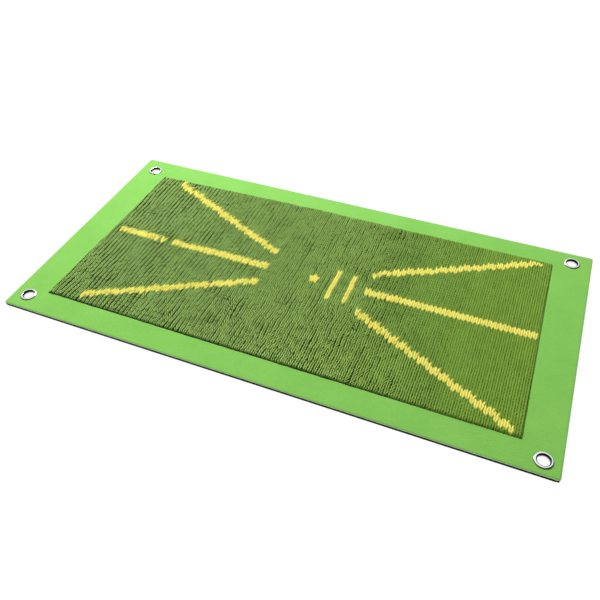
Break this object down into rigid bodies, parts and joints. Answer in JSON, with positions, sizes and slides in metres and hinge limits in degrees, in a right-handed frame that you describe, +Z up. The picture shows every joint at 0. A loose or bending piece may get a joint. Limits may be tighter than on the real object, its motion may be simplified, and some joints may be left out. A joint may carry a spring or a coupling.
{
  "type": "golf hitting mat",
  "caption": "Thin golf hitting mat: a knitted green strike panel with yellow aiming lines in a felt border on a rubber base, with corner eyelets.",
  "frame": {"origin": "centre of the underside, where the rubber base meets the floor", "axes": "+X along the mat's length, to the right; +Y across it, away from the front edge; +Z up"},
  "size_m": [0.62, 0.32, 0.007],
  "materials": {
    "base_rubber": "matt black foamed rubber with a fine non-slip grain",
    "bond_adhesive": "translucent hot-melt film",
    "border_felt": "short brushed felt, bright grass green",
    "knit_green": "chunky plain knit in soft olive green yarn",
    "yarn_yellow": "chunky plain knit in lemon yellow yarn",
    "eyelet_chrome": "bright plated steel",
    "washer_steel": "plated steel, duller than the flange"
  },
  "bodies": {
    "root": {"base_pad": "base_rubber", "bond_film": "bond_adhesive", "border_frame": "border_felt", "knit_panel": "knit_green", "line_left_back": "yarn_yellow", "line_left_mid_outer": "yarn_yellow", "line_left_mid_inner": "yarn_yellow", "line_left_front": "yarn_yellow", "line_right_back": "yarn_yellow", "line_right_mid": "yarn_yellow", "line_right_front": "yarn_yellow", "vee_mark": "yarn_yellow", "star_mark": "yarn_yellow", "bar_left": "yarn_yellow", "bar_right": "yarn_yellow", "eyelet_front_left": "eyelet_chrome", "eyelet_front_right": "eyelet_chrome", "eyelet_back_left": "eyelet_chrome", "eyelet_back_right": "eyelet_chrome", "washer_front_left": "washer_steel", "washer_front_right": "washer_steel", "washer_back_left": "washer_steel", "washer_back_right": "washer_steel"}
  },
  "joints": []
}
